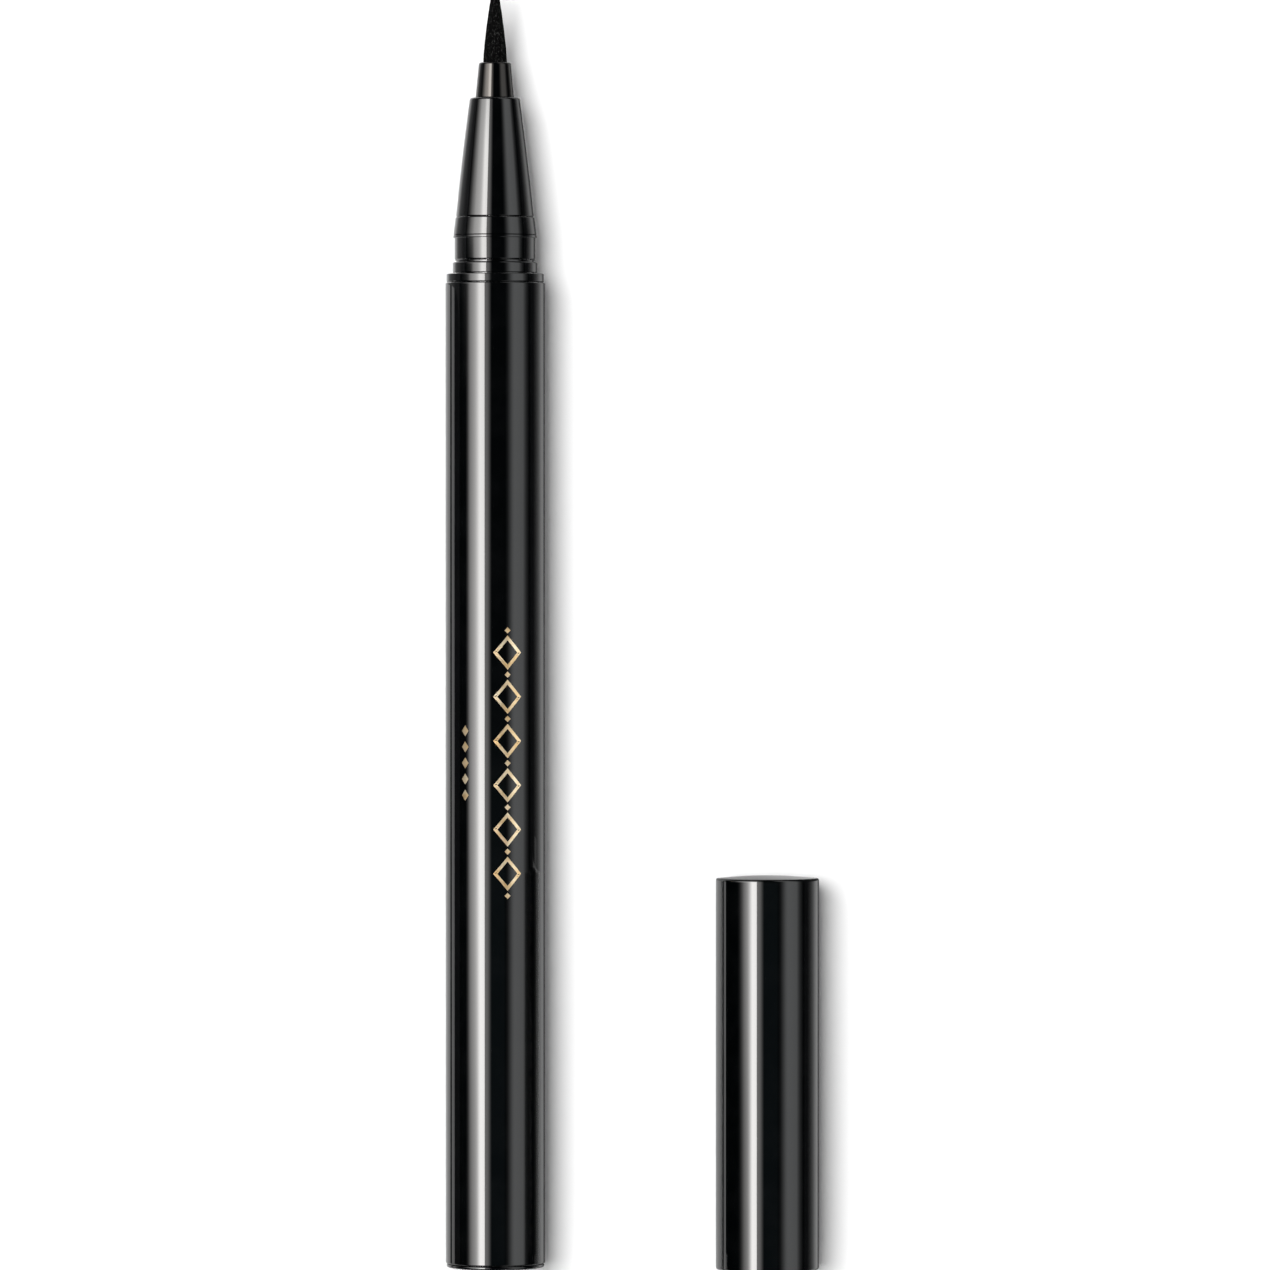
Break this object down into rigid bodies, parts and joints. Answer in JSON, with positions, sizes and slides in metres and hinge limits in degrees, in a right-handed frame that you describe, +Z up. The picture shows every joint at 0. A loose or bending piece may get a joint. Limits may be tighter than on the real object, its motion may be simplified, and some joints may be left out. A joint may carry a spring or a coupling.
{
  "type": "eyeliner pen",
  "caption": "Slim felt-tip eyeliner pen with a tapered front, snap neck, ink tank and mixing ball, lying beside its removed cap, which holds a sprung inner cap.",
  "frame": {"origin": "middle of the footprint of the pen and the cap, on the surface that both lie on", "axes": "+Y along the pen from its tail to its point, +Z up from the surface, +X from the pen to the cap"},
  "size_m": [0.0374, 0.129, 0.0103],
  "materials": {
    "gloss_black": "polished moulded plastic",
    "felt_black": "fine bonded felt soaked with black ink",
    "natural_plastic": "milky natural polypropylene",
    "comb_white": "white moulded plastic",
    "fibre": "bonded fibre rod, inked",
    "steel": "bright stainless steel"
  },
  "bodies": {
    "pen": {"barrel_shell": "gloss_black", "tail_plug": "gloss_black", "coupling_sleeve": "gloss_black", "front_ring": "gloss_black", "front_cone": "gloss_black", "tip_holder": "gloss_black", "felt_tip": "felt_black", "ink_tank": "natural_plastic", "tank_stopper": "natural_plastic", "comb_collector": "comb_white", "relay_core": "fibre"},
    "mixing_ball": {"mixing_ball": "steel"},
    "cap": {"cap_shell": "gloss_black", "cap_crown": "gloss_black", "inner_cap_guide": "natural_plastic", "inner_cap_spring": "steel"},
    "inner_cap": {"inner_cap": "natural_plastic"}
  },
  "joints": [
    {"name": "cap_off", "type": "slide", "parent": "pen", "child": "cap", "axis": [-0.1535, 0.9881, 0], "range_m": [0, 0.1771]},
    {"name": "inner_cap_slide", "type": "slide", "parent": "cap", "child": "inner_cap", "axis": [0, 1, 0], "range_m": [0, 0.002], "stiffness_N_per_m": 360, "springref_m": -0.004, "deforming": ["inner_cap_spring"]},
    {"name": "ball_roll", "type": "slide", "parent": "pen", "child": "mixing_ball", "axis": [0, 1, 0], "range_m": [0, 0.0528]}
  ]
}
